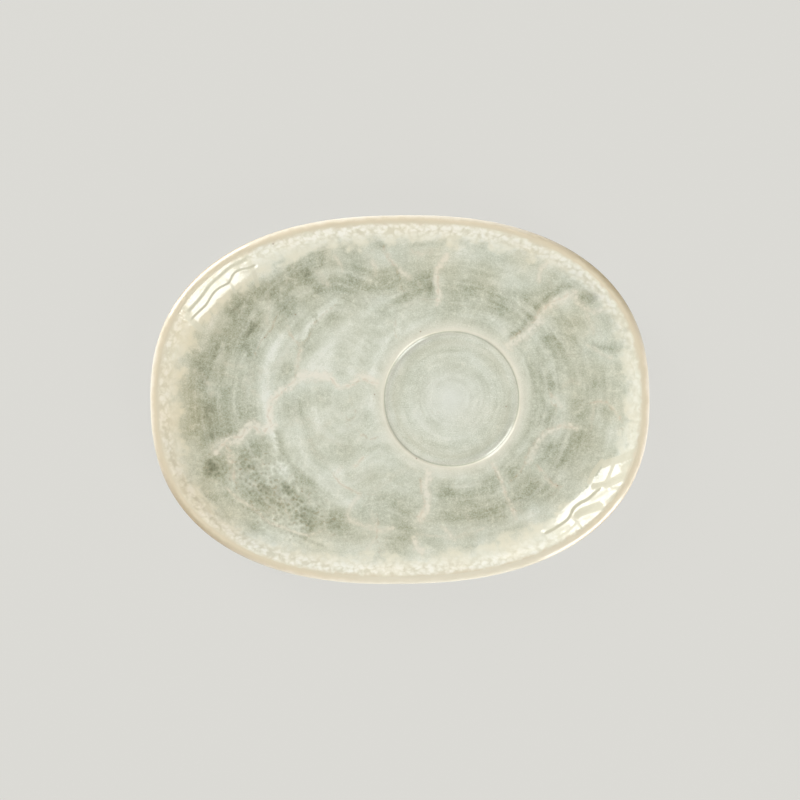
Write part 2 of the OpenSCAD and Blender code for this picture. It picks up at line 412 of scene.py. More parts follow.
# Dark pools of glaze: place in the photograph, radius in pixels and depth of tone
POOLS = (
    (212, 469, 9, 0.7), (209, 415, 9, 0.42), (206, 438, 8, 0.42), (226, 432, 10, 0.4), (203, 364, 10, 0.34),
    (191, 429, 7, 0.34), (205, 402, 6, 0.36), (204, 383, 8, 0.38), (190, 388, 8, 0.2), (218, 340, 13, 0.3),
    (247, 350, 6, 0.24), (251, 327, 8, 0.44), (232, 308, 11, 0.28), (243, 300, 9, 0.26), (266, 291, 11, 0.3),
    (286, 308, 9, 0.46), (304, 273, 9, 0.55), (286, 272, 10, 0.28), (292, 286, 6, 0.3), (318, 287, 8, 0.46),
    (333, 282, 6, 0.34), (320, 252, 9, 0.36), (313, 261, 5, 0.26), (246, 466, 12, 0.36), (262, 492, 14, 0.4),
    (287, 489, 12, 0.4), (306, 512, 12, 0.44), (308, 527, 6, 0.36), (336, 524, 9, 0.52), (255, 527, 6, 0.3),
    (209, 502, 8, 0.34), (229, 495, 7, 0.28), (225, 512, 6, 0.2), (262, 446, 12, 0.28), (225, 395, 10, 0.12),
    (245, 375, 12, 0.06), (248, 412, 10, 0.2), (190, 412, 8, 0.2), (222, 462, 7, 0.22), (350, 262, 14, 0.16),
    (362, 285, 16, 0.26), (345, 292, 9, 0.22), (390, 283, 12, 0.18), (352, 244, 10, 0.2),
    (378, 243, 7, 0.26), (391, 243, 5, 0.18), (402, 297, 8, 0.26), (415, 284, 10, 0.26), (427, 281, 7, 0.46),
    (405, 258, 8, 0.2), (415, 243, 9, 0.22), (436, 243, 7, 0.18), (432, 258, 6, 0.2), (456, 286, 12, 0.2),
    (475, 288, 9, 0.26), (458, 243, 8, 0.26), (485, 268, 14, 0.18), (480, 245, 8, 0.14), (495, 297, 8, 0.28),
    (506, 308, 11, 0.28), (526, 300, 8, 0.18), (505, 258, 9, 0.14), (530, 265, 9, 0.28), (556, 270, 10, 0.3),
    (576, 278, 6, 0.18), (545, 287, 6, 0.2), (552, 296, 6, 0.2), (529, 320, 7, 0.22), (587, 297, 8, 0.95),
    (551, 338, 8, 0.48), (576, 322, 8, 0.28), (560, 318, 7, 0.22), (610, 310, 5, 0.2), (600, 320, 8, 0.12),
    (535, 370, 9, 0.2), (557, 353, 8, 0.24), (552, 385, 5, 0.36), (548, 375, 9, 0.16), (575, 350, 10, 0.16),
    (595, 380, 14, 0.2), (606, 348, 8, 0.24), (548, 422, 8, 0.3), (545, 405, 8, 0.2), (585, 405, 9, 0.2),
    (602, 411, 8, 0.22), (585, 430, 9, 0.24), (588, 452, 10, 0.1), (560, 460, 11, 0.36),
    (545, 448, 10, 0.26), (572, 440, 9, 0.2), (533, 489, 10, 0.36), (518, 501, 8, 0.32), (548, 492, 8, 0.24),
    (512, 470, 9, 0.22), (445, 496, 9, 0.38), (490, 487, 10, 0.34), (470, 498, 10, 0.22),
    (492, 514, 10, 0.28), (472, 512, 8, 0.12), (450, 520, 9, 0.14), (395, 505, 7, 0.24), (412, 508, 8, 0.18),
    (395, 546, 10, 0.34), (408, 538, 7, 0.3), (403, 525, 8, 0.28), (436, 546, 9, 0.22), (470, 543, 8, 0.26),
    (352, 535, 7, 0.12), (215, 437, 8, 0.22), (372, 508, 10, 0.16), (318, 322, 9, 0.1), (308, 345, 8, 0.28),
    (288, 372, 8, 0.28), (297, 406, 12, 0.32), (320, 396, 8, 0.18), (245, 522, 9, 0.12),
    (345, 450, 10, 0.16), (334, 316, 8, 0.2), (362, 412, 4, 0.2), (383, 312, 8, 0.16), (455, 305, 12, 0.08),
    (480, 320, 10, 0.12), (310, 480, 9, 0.16),
)

# Pale clouds in the same measures
CLOUDS = (
    (323, 278, 7, 0.16), (300, 287, 7, 0.22), (268, 308, 7, 0.2), (237, 365, 10, 0.16), (209, 389, 5, 0.22),
    (276, 468, 11, 0.28), (335, 470, 6, 0.2), (325, 350, 14, 0.08), (510, 273, 6, 0.16), (557, 402, 7, 0.24),
    (530, 512, 9, 0.14), (565, 302, 6, 0.12), (600, 335, 9, 0.1), (270, 345, 7, 0.1), (320, 414, 8, 0.16),
    (290, 438, 8, 0.14), (213, 322, 11, 0.3), (262, 276, 8, 0.2), (462, 252, 5, 0.22), (553, 362, 6, 0.16),
    (615, 432, 9, 0.18), (595, 365, 8, 0.1), (404, 318, 9, 0.1), (355, 325, 6, 0.14), (382, 324, 6, 0.14),
    (328, 443, 5, 0.14), (205, 340, 9, 0.12), (295, 526, 8, 0.04), (540, 505, 9, 0.12),
)

# Where fired bubbles left a net of paler lines, in the same measures
FOAM = (
    (212, 470, 12, 0.8), (245, 466, 20, 0.6), (268, 490, 28, 0.9), (300, 513, 24, 0.9), (335, 524, 10, 0.6),
    (208, 430, 22, 0.4), (285, 285, 26, 0.35), (400, 545, 16, 0.3),
)

# By turn from the right-hand end: how far in from the outline the cream reaches,
# and the share of white crumbs in it
CREAM_REACH = (
    (0, 8.7), (40, 7), (90, 10.5), (140, 15), (180, 12), (220, 7.8), (270, 11), (318, 15), (360, 8.7),
)
CRUMB_SHARE = (
    (0, 0.35), (40, 0.65), (90, 0.8), (140, 0.55), (180, 0.7), (220, 0.8), (270, 0.8), (318, 0.5),
    (360, 0.35),
)

# Terraces beside the lip, where the glaze has crept, also painted with shade: width, depth and points, with
# the lip on the left
TERRACES = (
    (1.2, 0.3, (
        (186, 313), (191, 307), (197, 300.5), (203, 293), (208, 286), (214, 280), (219, 276), (224, 271.5),
        (229, 267.5), (234, 264.5), (241, 261), (248, 258),
    )),
    (0.8, 0.22, (
        (189, 320), (195, 313.5), (204, 305), (208, 299), (212, 293), (217, 288), (222, 285), (227, 282.5),
        (229.5, 279), (231.5, 275), (235, 271), (241, 268.5), (248, 267), (256, 263),
    )),
    (3.2, 0.12, ((630, 471), (620, 477), (611, 482), (601, 486), (590, 488))),
    (1.1, 0.24, (
        (602, 487), (597, 491), (592, 496), (587, 500), (580, 503.5), (574, 508.5), (571, 515), (567, 520),
        (560, 525), (552, 530), (543, 534),
    )),
    (3.4, 0.26, ((604, 503), (598, 506), (591, 508.5), (584, 511), (578, 513.5), (573, 518))),
)

# Matt strokes across the same places, also painted with shade: width, strength and points
MATT_STROKES = (
    (1.6, 1, ((230, 256), (235, 262), (238, 269))),
    (2.0, 1, ((244, 250), (247, 258), (251, 267), (254, 276), (256, 284))),
    (1.8, 1, ((180, 302), (185, 308), (190, 313))),
    (2.6, 1, ((187, 316), (193, 322), (199, 328))),
    (1.2, 1, ((226, 279), (230, 284), (234, 291))),
    (1.8, 0.46, ((200, 301), (207, 293), (213, 286), (220, 280), (228, 274), (234, 268))),
    (3.2, 1, ((648, 443), (634, 452), (620, 459), (604, 464))),
    (4.0, 1, ((648, 455), (636, 461), (625, 468))),
    (1.4, 1, ((614, 463), (610, 474), (607, 480))),
    (2.0, 1, ((603, 461), (596, 470), (590, 482))),
    (1.1, 1, ((571, 516), (575, 520), (579, 525), (583, 531), (586, 536))),
    (1.1, 1, ((626, 483), (618, 487), (611, 488))),
    (1.3, 1, ((619, 489), (612, 496), (606, 502))),
    (1.1, 1, ((577, 522), (571, 528), (565, 533), (558, 537))),
    (5.0, 0.53, ((607, 491), (600, 495), (592, 500))),
    (4.6, 0.53, ((569, 526), (562, 529), (555, 531))),
)

# The fold of glaze, the pale middle of the dish with its half sizes, and the middle of the wheel's strokes
FOLD_PLACE = from_photo(585, 505)
PALE_MIDDLE = from_photo(350, 400)
PALE_HALF = (80 * FACE_MM_PER_PIXEL, 95 * FACE_MM_PER_PIXEL)
ARC_MIDDLE = from_photo(372, 398)
# Tone of the open glaze, and the size and width of the net of small veins
BASE_TONE = 0.06
NET_SIZE, NET_WIDTH = 17, 2.6
# Step between the points of a drawn line, where a hill ends in its radii, and how far off rust is looked for
CURVE_STEP = 0.4
HILL_END = 3
RUST_REACH = 4


def curve(points, scale):
    """Points at about one step apart on a smooth curve through the given ones."""
    places = [Vector(from_photo(*point, scale)) for point in points]
    places = [2 * places[0] - places[1], *places, 2 * places[-1] - places[-2]]
    path = []
    for a, b, c, d in zip(places, places[1:], places[2:], places[3:]):
        count = max(1, round((c - b).length / CURVE_STEP))
        for share in spread(0, 1, count)[:-1]:
            bend = (2 * a - 5 * b + 4 * c - d) * share**2 + (3 * b - a - 3 * c + d) * share**3
            path.append(0.5 * (2 * b + (c - a) * share + bend))
    path.append(places[-2])
    return path


def nearest_on(lines, scale=FACE_MM_PER_PIXEL):
    """A search tree of points on lines, with each point's line, direction and distance from its end."""
    paths = [curve(line[-1], scale) for line in lines]
    tree = kdtree.KDTree(sum(len(path) for path in paths))
    facts = []
    for line, path in zip(lines, paths):
        for index, (here, there) in enumerate(zip(path, path[1:] + path[-1:])):
            tree.insert((here.x, here.y, 0), len(facts))
            from_end = min(index, len(path) - 1 - index) * CURVE_STEP
            facts.append((line, (there - here).normalized(), from_end))
    tree.balance()
    return tree, facts


def hills(rows):
    """Rows of pixels as round hills: place, radius and height."""
    return [(*from_photo(x, y), radius * FACE_MM_PER_PIXEL, height) for x, y, radius, height in rows]


vein_search, streak_search = nearest_on(VEINS), nearest_on(STREAKS)
rust_search = nearest_on(list(zip(RUST_LINES)))
terrace_search = nearest_on(TERRACES, LIP_MM_PER_PIXEL)
matt_search = nearest_on(MATT_STROKES, LIP_MM_PER_PIXEL)
pool_hills, cloud_hills, foam_hills = hills(POOLS), hills(CLOUDS), hills(FOAM)


def heap(places, x, y):
    """Sum of round hills at the given places."""
    total = 0
    for px, py, radius, height in places:
        square = ((x - px) ** 2 + (y - py) ** 2) / radius**2
        if square < HILL_END**2:
            total += height * exp(-square / 1.4)
    return total


def by_turn(table, turn):
    """The value at a turn, smooth between the rows of a table."""
    angle = degrees(turn) % 360
    for (a, near), (b, far) in zip(table, table[1:]):
        if angle <= b:
            return near + (far - near) * fade(angle, a, b)


def beside(search, x, y):
    """The nearest line, the distance from it with a sign for the side, and the distance from its end."""
    tree, facts = search
    spot, index, apart = tree.find((x, y, 0))
    line, way, from_end = facts[index]
    return line, copysign(apart, way.x * (y - spot.y) - way.y * (x - spot.x)), from_end


def marked(search, x, y, broad=1):
    """How strongly the nearest of some soft lines shows, drawn this many times as broad."""
    (width, strength, _), apart, _ = beside(search, x, y)
    return strength * exp(-((1.7 * apart / (width * broad)) ** 2))


def bumps(x, y, size, layer):
    """Smooth noise from -1 to 1 with features of about this size, and another noise in each layer."""
    return noise.noise(Vector((x / size, y / size, layer)))


def warped(x, y, size, reach):
    """A place moved about, so that what is drawn there gets a ragged edge."""
    return x + reach * bumps(x, y, size, 31), y + reach * bumps(x, y, size, 47)


def tone(x, y, inset, ring):
    """Depth of the glaze's tone, from 0 for pale to 1 for the darkest pool."""
    outside_well = fade(ring, WELL_RADIUS, WELL_RADIUS + 6)
    from_pale = hypot((x - PALE_MIDDLE[0]) / PALE_HALF[0], (y - PALE_MIDDLE[1]) / PALE_HALF[1])
    open_face = 0.04 + 0.10 * fade(from_pale, 0.75, 1.35) + 0.03 * fade(x, 45, 70)
    dark_belt = 0.10 * fade(inset, 15, 20) * (1 - fade(inset, 34, 46)) * fade(-x, 35, 65)
    pale_sides = 0.12 * (1 - fade(inset, 12, 24)) * fade(abs(y), 35, 55)
    pale_border = 0.07 * (1 - fade(inset, 18, 28))
    ragged = warped(*warped(x, y, 8, 2.6), 2.6, 1.0)
    pools = heap(pool_hills, *ragged) * (1 - 0.25 * fade(x, -40, 0))
    near = warped(x, y, 5, 0.7)
    lines = marked(streak_search, *near) + 0.16 * marked(vein_search, *near, broad=2.4)
    depth = BASE_TONE + outside_well * (open_face - lines) + dark_belt - pale_sides - pale_border
    return depth + pools - heap(cloud_hills, *ragged) + 0.08 * bumps(x, y, 6, 71)


def warmth(x, y, inset):
    """How far the glaze leans to tan: in patches, and most of all along the lip of one end."""
    border = 1 - fade(inset, 20, 45)
    end = fade(-x, 55, 95) * (1 - fade(inset, 14, 26))
    ring = fade(inset, 9, 13) * (1 - fade(inset, 24, 40))
    patches = 0.45 * (0.4 + 0.6 * border) * bumps(x, y, 14, 81)
    return max(0, 0.10 + 0.20 * ring + 0.65 * end + patches)


def vein_at(x, y, inset, ring):
    """Cream veins, and a faint net of smaller ones between them."""
    near = warped(*warped(x, y, 5, 0.7), 1.8, 0.5)
    first, second = noise.voronoi(Vector((*near, 0)) / NET_SIZE)[0][:2]
    net = exp(-(((second - first) * NET_SIZE / NET_WIDTH) ** 2)) * fade(bumps(x, y, 22, 61), -0.35, 0.45)
    drawn = max(marked(vein_search, *near), 0.26 * net * fade(inset, 9, 14))
    return drawn * fade(ring, WELL_RADIUS, WELL_RADIUS + 3)


def terrace_at(x, y):
    """Side of the nearest terrace in its widths, its depth, how far it has set in, and its distance."""
    (width, depth, _), side, from_end = beside(terrace_search, x, y)
    return side / width, depth, fade(from_end, 0, 1.6), abs(side)


def face_relief(x, y, inset, ring, rim, vein, depth, terrace):
    """Height of the glaze's uneven skin over the even coat."""
    side, drop, set_in, apart = terrace
    step = -1.65 * drop * set_in * side * exp(-side * side)
    calm = fade(apart, 3, 9)
    from_fold = hypot(x - FOLD_PLACE[0], y - FOLD_PLACE[1])
    fold = FOLD_HEIGHT * fade(inset, 17, 12) * exp(-((from_fold / FOLD_REACH) ** 2))
    roll_place = ROLL_INSET + bumps(*rim, 20, 1)
    roll = ROLL_HEIGHT * (0.2 + 0.8 * calm) * (1 + calm * bumps(*rim, 12, 2))
    roll *= exp(-(((inset - roll_place) / ROLL_WIDTH) ** 2))
    shelf_end = SHELF_INSET + 1.6 * bumps(*rim, 16, 3)
    shelf = SHELF_HEIGHT * calm * (1 + 1.2 * bumps(*rim, 14, 4))
    shelf *= 1 - fade(inset, shelf_end - SHELF_WIDTH / 2, shelf_end + SHELF_WIDTH / 2)
    lumps = 0.08 * (0.3 + 0.7 * calm) * (1 - fade(inset, 8, 12)) * bumps(*rim, 2.6, inset / 1.5)
    ridges = 0.10 * (0.2 + 0.8 * calm) * (1 - fade(inset, 14, 19)) * bumps(*rim, 8, inset / 2.6 + 7)
    swell = 0.05 * fade(inset, 12, 20) * bumps(x, y, 9, 3)
    throwing = 0.02 * fade(inset, 20, 30) * bumps(ring, 0.32, 1.6, 11) * fade(ring, 0, 6)
    beside_lip = fade(inset, BEAD_START, BEAD_FULL) * (roll + shelf + lumps + ridges + step + fold)
    return beside_lip + swell + throwing + 0.06 * vein - 0.05 * depth


FACE_MARKS = (
    "ring", "arc", "tone", "warm", "foam", "vein", "rust", "cream", "crumb", "matt", "shine", "terrace",
)


def face_glaze(material):
    """Reactive glaze over the face and the well, from its thin end on the lip."""
    upper = lip_skin([180 + share * LIP_SLOPE for share in (0.60, 0.62, 0.85)])
    upper += sweep(RISE_CENTRE, RISE_RADIUS - FACE_COAT, spread(LIP_SLOPE, DISH_SLOPE, 50))
    upper += sweep(DISH_CENTRE, DISH_RADIUS - FACE_COAT, spread(DISH_SLOPE, 0, 20)[1:])
    lower = upper[:1] + sweep(RISE_CENTRE, RISE_RADIUS, spread(LIP_SLOPE, DISH_SLOPE, 4))
    lower += sweep(DISH_CENTRE, DISH_RADIUS, [0])
    upper = on_oval(upper)
    upper += [("flat", share, FLOOR_Z + FACE_COAT) for share in spread(0, 1, 38)[1:-1]]
    upper += well_rows(FACE_COAT, 8, 15)
    lower = on_oval(lower) + well_rows(0, 3, 1)
    bm, turns, row_of, side_of = rolled(upper + lower[::-1], FACE_SIDES)
    marks = {name: bm.verts.layers.float.new(name) for name in FACE_MARKS}
    rim_mark = bm.verts.layers.float_vector.new("rim")
    for vert in bm.verts:
        if vert[row_of] >= len(upper):
            continue
        kind, size, _ = upper[vert[row_of]]
        x, y = vert.co.xy
        turn = turns[vert[side_of]]
        rim = oval(turn, 0)
        inset = size if kind == "oval" else FLAT_INSET + 20
        ring = hypot(x - WELL_X, y)
        arc = hypot(x - ARC_MIDDLE[0], y - ARC_MIDDLE[1])
        depth, vein = tone(x, y, inset, ring), vein_at(x, y, inset, ring)
        terrace = terrace_at(x, y)
        side, drop, set_in, _ = terrace
        step = set_in * exp(-((1.6 * side) ** 2))
        reach = by_turn(CREAM_REACH, turn) + 4.5 * bumps(x, y, 7, 21) + 2 * bumps(x, y, 2.8, 22)
        well_side = fade(ring, 27, 28) * (1 - fade(ring, 31.5, 33))
        found = {
            "ring": ring,
            "arc": ring + (arc - ring) * fade(-x, 0, 30),
            "tone": depth,
            "warm": warmth(x, y, inset),
            "foam": heap(foam_hills, x, y),
            "vein": vein,
            "rust": max(-RUST_REACH, min(RUST_REACH, beside(rust_search, x, y)[1])),
            "cream": 1 - fade(inset, reach - 3.5, reach + 4.5),
            "crumb": by_turn(CRUMB_SHARE, turn),
            "matt": max(step, marked(matt_search, x, y)),
            "shine": max(1 - fade(inset, 15, 21), well_side),
            "terrace": drop * step,
        }
        for name, value in found.items():
            vert[marks[name]] = value
        vert[rim_mark] = (*rim, inset)
        if vert[row_of] > 0:
            vert.co += vert.normal * face_relief(x, y, inset, ring, rim, vein, depth, terrace)
    return finished(bm, "face_glaze_coat", material, "face_glaze")


def rim_band(material):
    """Tan glaze over the half round of the lip."""
    outer = lip_skin(spread(LIP_SLOPE, 180 + LIP_SLOPE, 32))
    inner = sweep(LIP_CENTRE, LIP_RADIUS, spread(180 + LIP_SLOPE, LIP_SLOPE, 8))
    section = outer + inner + outer[:1]
    bm, turns, row_of, side_of = rolled(on_oval(section), RIM_SIDES)
    mark, corner, lit = (bm.verts.layers.float.new(name) for name in ("inset", "corner", "lit"))
    for vert in bm.verts:
        rim = oval(turns[vert[side_of]], 0)
        vert[mark] = section[vert[row_of]][0]
        # Marks for the lip's painted shade: the corners that face away from the lamps, and the lit corners
        # that face them
        way = cos(2 * (facing(rim) - radians(PAINTED_SHADE_BEARING)))
        vert[corner], vert[lit] = max(0, way) ** 2, max(0, -way) ** 2
        vert.co -= vert.normal * LIP_WAVES * (0.5 + 0.5 * bumps(*rim, 9, vert.co.z / 4))
    return finished(bm, "rim_band_coat", material, "rim_band")


def underside(coat):
    """Section of the lower face outside the foot ring, from the foot out to the lip."""
    radius = DISH_RADIUS + WALL + coat
    foot_slope = degrees(asin((FLAT_INSET - FOOT_INSET) / radius))
    bead_slope = foot_slope + BEAD_SWEEP
    slopes = spread(foot_slope, bead_slope, 6) + spread(bead_slope, DISH_SLOPE, 8)[1:]
    rise = sweep(RISE_CENTRE, RISE_RADIUS + WALL + coat, spread(DISH_SLOPE, LIP_SLOPE, 26))
    return sweep(DISH_CENTRE, radius, slopes) + rise[1:]


def base(coat):
    """Section of the lower face inside the foot ring, from the flat middle out to the foot."""
    radius = DISH_RADIUS + WALL + coat
    foot_slope = degrees(asin((FLAT_INSET - FOOT_INSET - FOOT_WIDTH) / radius))
    bead_slope = foot_slope - BEAD_SWEEP
    return sweep(DISH_CENTRE, radius, spread(0, bead_slope, 5) + spread(bead_slope, foot_slope, 6)[1:])


def hub(z, count):
    """Rows from the middle of the base out to the edge of its flat."""
    return [("hub", share, z) for share in spread(0, 1, count)]


def dipped(rows, sides, foot, way, outer_rows):
    """A piece of the underside's glaze: its end is rolled, and drawn back from the foot ring in waves."""
    bm, turns, row_of, side_of = rolled(rows, sides)
    end = bm.verts.layers.float.new("end")
    for vert in bm.verts:
        kind, inset, _ = rows[vert[row_of]]
        rim = oval(turns[vert[side_of]], 0)
        ring = 0 if kind == "hub" else inset
        if vert[row_of] < outer_rows:
            turning = 0.03 * bumps(hypot(vert.co.x, vert.co.y), 0.75 * ring, 3, 5)
            roll = ROLLED_END * exp(-(((abs(ring - foot) - 0.8) / 0.7) ** 2))
            vert.co += vert.normal * (turning + roll)
        if kind == "hub":
            continue
        vert[end] = 1 - fade(abs(inset - foot), 0.6, 3)
        wave = BARE_CLAY * (0.6 + 0.9 * bumps(*rim, 14, 9) + 0.3 * bumps(*rim, 4, 8))
        back = max(0.05, wave) * (1 - fade(abs(inset - foot), 0, 5))
        vert.co.xy = oval(turns[vert[side_of]], inset + way * back)
    return bm


def underside_glaze(material):
    outer = underside(UNDER_COAT)
    rows = on_oval(outer + underside(0)[::-1] + outer[:1])
    bm = dipped(rows, UNDER_SIDES, FOOT_INSET, -1, len(outer))
    return finished(bm, "underside_coat", material, "underside_glaze")


def base_glaze(material):
    outer = hub(FOOT_HEIGHT - UNDER_COAT, 20) + on_oval(base(UNDER_COAT)[1:])
    rows = outer + on_oval(base(0)[:0:-1]) + hub(FOOT_HEIGHT, 2)[::-1]
    bm = dipped(rows, BASE_SIDES, FOOT_INSET + FOOT_WIDTH, 1, len(outer))
    return finished(bm, "base_coat", material, "base_glaze")


def clay_body(material):
    """Bare stoneware: it shows at the foot ring."""
    inner = FOOT_INSET + FOOT_WIDTH
    turns = spread(0, pi / 2, 6)
    foot = [(inner - FOOT_ROUND * (1 - cos(turn)), FOOT_ROUND * (1 - sin(turn))) for turn in turns]
    foot += [(FOOT_INSET + FOOT_ROUND * (1 - sin(turn)), FOOT_ROUND * (1 - cos(turn))) for turn in turns]
    lip = sweep(LIP_CENTRE, LIP_RADIUS, spread(LIP_SLOPE, 180 + LIP_SLOPE, 12))
    face = sweep(RISE_CENTRE, RISE_RADIUS, spread(LIP_SLOPE, DISH_SLOPE, 8))
    face += sweep(DISH_CENTRE, DISH_RADIUS, spread(DISH_SLOPE, 0, 4))[1:]
    rows = hub(FOOT_HEIGHT, 3) + on_oval(base(0)[1:] + foot + underside(0) + lip[1:] + face[1:])
    bm = rolled(rows + well_rows(0, 4, 2), CLAY_SIDES)[0]
    return finished(bm, "clay_foot_and_body", material, "clay_body")


def linear(colour):
    """A colour such as #d9c8a8 as linear red, green, blue and alpha."""
    parts = [int(colour[start:start + 2], 16) / 255 for start in (1, 3, 5)]
    return [part / 12.92 if part <= 0.04045 else ((part + 0.055) / 1.055) ** 2.4 for part in parts] + [1]


def add_node(tree, kind, inputs=(), stops=None, **settings):
    """Adds a node with its settings, and sets or links its inputs, in their order or by name."""
    node = tree.nodes.new("ShaderNode" + kind)
    for name, value in settings.items():
        setattr(node, name, value)
    if stops:
        ramp = node.color_ramp
        while len(ramp.elements) < len(stops):
            ramp.elements.new(1)
        for element, (position, colour) in zip(ramp.elements, stops):
            element.position = position
            element.color = linear(colour) if isinstance(colour, str) else (colour, colour, colour, 1)
    sockets = [socket for socket in node.inputs if socket.enabled]
    if isinstance(inputs, dict):
        sockets = [next(socket for socket in sockets if socket.name == name) for name in inputs]
        inputs = inputs.values()
    for socket, value in zip(sockets, inputs):
        if isinstance(value, str):
            value = linear(value)
        if isinstance(value, bpy.types.Node):
            value = next(output for output in value.outputs if output.enabled)
        if isinstance(value, bpy.types.NodeSocket):
            tree.links.new(value, socket)
        else:
            socket.default_value = value
    return node


def new_material(name):
    """A material without nodes, and the function that adds them to it."""
    material = bpy.data.materials.new(name)
    material.use_nodes = True
    material.node_tree.nodes.clear()
    return material, partial(add_node, material.node_tree)


def per_metre(size):
    """Scale of a pattern whose features are this many millimetres across."""
    return 1 / (size * MM)


# The inputs of a MapRange are a value, the range that it comes from and the range that it goes to.
def both(add, *ranges):
    """Product of two values, each of them mapped to a range."""
    return add("Math", [add("MapRange", inputs) for inputs in ranges], operation="MULTIPLY")


def glaze_depth(add, place_at, mark, mottle, turned):
    """Depth of the glaze's tone: the pools, broken up by grain, fired cells, mottling and turned strokes."""
    grain = add("TexNoise", (place_at, per_metre(0.55), 1))
    stir = add("TexNoise", (place_at, per_metre(2.5), 1))
    stirred = add("VectorMath", (stir.outputs["Color"], (MM, MM, 0), place_at), operation="MULTIPLY_ADD")
    cells, foam = (
        add(
            "TexVoronoi", {"Vector": stirred, "Scale": per_metre(size), "Smoothness": 0.5},
            voronoi_dimensions="2D", feature="SMOOTH_F1",
        )
        for size in (1.05, 1.9)
    )
    curds, clouds = (
        add("TexNoise", {"Vector": place_at, "Scale": per_metre(size), "Detail": detail, "Distortion": bend})
        for size, detail, bend in ((2.1, 1, 0.5), (9, 2, 0.8))
    )
    # Each pattern's middle value, and its strength in pale and in dark glaze
    broken = 0
    for pattern, middle, pale, dark in (
        (grain, 0.5, 0.52, 0.98), (cells, 0.36, 0.05, 0.24), (curds, 0.5, 0.08, 0.40),
        (mottle, 0.5, 0.20, 0.62), (clouds, 0.5, 0.12, 0.25),
        (turned[0], 0.5, 0.16, 0.26), (turned[1], 0.5, 0.30, 0.66),
    ):
        strength = add("MapRange", (mark["tone"], 0.05, 0.45, pale, dark))
        off = add("Math", (middle, pattern), operation="SUBTRACT")
        broken = add("Math", (off, strength, broken), operation="MULTIPLY_ADD")
    # The patterns are stiller in the foam and livelier in the well
    strength = both(add, (mark["foam"], 0, 0.9, 1, 0.6), (mark["ring"], 28, 31, 1.4, 1))
    depth = add("Math", (broken, strength, mark["tone"]), operation="MULTIPLY_ADD")
    bubbles = add("Math", (0.40, foam), operation="SUBTRACT")
    chance = add("SeparateXYZ", (foam.outputs["Color"],))
    fill = add("MapRange", (chance, 0.2, 0.8, 0.35, 1))
    bubble_size = add("Math", (mark["foam"], fill), operation="MULTIPLY")
    return add("Math", (bubbles, bubble_size, depth), operation="MULTIPLY_ADD"), cells


